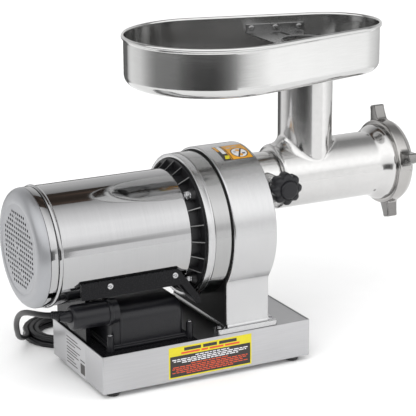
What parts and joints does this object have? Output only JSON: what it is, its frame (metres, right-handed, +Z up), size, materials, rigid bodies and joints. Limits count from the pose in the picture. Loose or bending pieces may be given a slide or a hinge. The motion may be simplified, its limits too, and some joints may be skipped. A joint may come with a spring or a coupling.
{
  "type": "electric meat grinder",
  "caption": "Electric meat grinder: motor and round gearbox on a sheet-steel base, clamped grinding head with ring nut, and an oval feed pan on a vertical neck.",
  "frame": {"origin": "on the table, below the middle of the machine without its cord", "axes": "+X from the motor's rear cap towards the outlet, +Z up"},
  "size_m": [0.518, 0.3112, 0.409],
  "materials": {
    "base_steel": "brushed sheet stainless steel",
    "zinc_steel": "zinc-plated steel",
    "black_paint": "satin black enamel",
    "black_rubber": "matt moulded rubber",
    "cord_rubber": "satin black cord jacket",
    "black_plastic": "fine-grained moulded plastic",
    "label_print": "printed film, blank panels",
    "white_plastic": "moulded nylon",
    "mirror_steel": "mirror-polished stainless steel",
    "cap_steel": "matt silver finish",
    "cast_aluminium": "satin machined aluminium casting",
    "lamination_steel": "stacked steel laminations",
    "copper_wire": "varnished copper",
    "bearing_steel": "ground steel",
    "black_casting": "black-painted casting",
    "gasket_rubber": "black sealing rubber",
    "polished_steel": "polished cast stainless steel",
    "red_plastic": "glossy red plastic",
    "bronze": "sintered bronze",
    "pan_steel": "polished spun and welded sheet stainless steel"
  },
  "bodies": {
    "chassis": {"base_frame": "base_steel", "deck_rear": "black_paint", "deck_front": "base_steel", "cross_plate": "zinc_steel", "floor_plate": "zinc_steel", "feet": "black_rubber", "foot_screws": "zinc_steel", "labels": "label_print", "capacitor_box": "black_plastic", "cover_screws": "zinc_steel", "capacitors": "black_plastic", "terminal_block": "white_plastic", "cord_gland": "black_plastic", "cord_lead": "cord_rubber", "cord_coil": "cord_rubber", "cord_tail": "cord_rubber", "cord_tie": "black_plastic", "plug": "cord_rubber", "motor_cradle": "black_paint", "motor_cover": "mirror_steel", "cap_band": "cap_steel", "rear_cap": "cap_steel", "rear_shield": "cast_aluminium", "stator": "lamination_steel", "windings": "copper_wire", "motor_bearings": "bearing_steel", "end_bell": "black_casting", "tie_nuts": "zinc_steel", "adapter_ring": "cast_aluminium", "gasket": "gasket_rubber", "gear_housing": "cast_aluminium", "pedestal_bolts": "zinc_steel", "gear_bearings": "bearing_steel", "oil_seal": "gasket_rubber", "head_socket": "polished_steel", "switch_body": "black_plastic", "reset_body": "black_plastic"},
    "rotor": {"motor_shaft": "bearing_steel", "rotor_core": "lamination_steel", "cooling_fan": "black_plastic"},
    "lay_shaft": {"lay_shaft": "bearing_steel", "lay_gear": "bearing_steel"},
    "output_shaft": {"output_shaft": "bearing_steel", "output_gear": "bearing_steel"},
    "head": {"head_casting": "polished_steel", "head_bush": "bronze", "plate_key": "bearing_steel"},
    "auger": {"auger": "polished_steel", "auger_flight": "polished_steel", "knife": "polished_steel"},
    "plate": {"cutting_plate": "polished_steel"},
    "ring": {"ring_nut": "polished_steel"},
    "pan": {"pan": "pan_steel", "feed_spout": "pan_steel", "pan_guard": "pan_steel", "guard_rivets": "pan_steel"},
    "clamp_stud": {"knob_stud": "zinc_steel"},
    "clamp_knob": {"knob": "black_plastic"},
    "rocker": {"rocker": "red_plastic"},
    "reset_button": {"reset_button": "red_plastic"}
  },
  "joints": [
    {"name": "rotor_spin", "type": "hinge", "parent": "chassis", "child": "rotor", "pos_m": [-0.15, 0, 0.176], "axis": [1, 0, 0], "continuous": true},
    {"name": "lay_spin", "type": "hinge", "parent": "chassis", "child": "lay_shaft", "pos_m": [0, 0.03893, 0.19367], "axis": [1, 0, 0], "continuous": true},
    {"name": "output_spin", "type": "hinge", "parent": "chassis", "child": "output_shaft", "pos_m": [0, 0, 0.22], "axis": [1, 0, 0], "continuous": true},
    {"name": "head_slide", "type": "slide", "parent": "chassis", "child": "head", "axis": [1, 0, 0], "range_m": [0, 0.05]},
    {"name": "auger_spin", "type": "hinge", "parent": "head", "child": "auger", "pos_m": [0.1, 0, 0.22], "axis": [1, 0, 0], "continuous": true},
    {"name": "plate_slide", "type": "slide", "parent": "head", "child": "plate", "axis": [1, 0, 0], "range_m": [0, 0.012]},
    {"name": "ring_turn", "type": "hinge", "parent": "plate", "child": "ring", "pos_m": [0.24, 0, 0.22], "axis": [1, 0, 0], "range_deg": [0, 1440]},
    {"name": "pan_lift", "type": "slide", "parent": "head", "child": "pan", "axis": [0, 0, 1], "range_m": [0, 0.06]},
    {"name": "stud_travel", "type": "slide", "parent": "chassis", "child": "clamp_stud", "axis": [0, -1, 0], "range_m": [0, 0.0045]},
    {"name": "knob_turn", "type": "hinge", "parent": "clamp_stud", "child": "clamp_knob", "pos_m": [0.056, -0.075, 0.226], "axis": [0, -1, 0], "range_deg": [0, 1080]},
    {"name": "rocker_tilt", "type": "hinge", "parent": "chassis", "child": "rocker", "pos_m": [0.03, 0.07, 0.03], "axis": [0, 0, 1], "range_deg": [-20, 0]},
    {"name": "reset_press", "type": "slide", "parent": "chassis", "child": "reset_button", "axis": [0, -1, 0], "range_m": [0, 0.0025], "stiffness_N_per_m": 400}
  ],
  "couplings": [
    {"joint": "lay_spin", "follows": "rotor_spin", "ratio": -0.26667},
    {"joint": "output_spin", "follows": "rotor_spin", "ratio": 0.10196},
    {"joint": "auger_spin", "follows": "rotor_spin", "ratio": 0.10196},
    {"joint": "plate_slide", "follows": "ring_turn", "m_per_rad": 0.00047746},
    {"joint": "stud_travel", "follows": "knob_turn", "m_per_rad": 0.00023873}
  ]
}
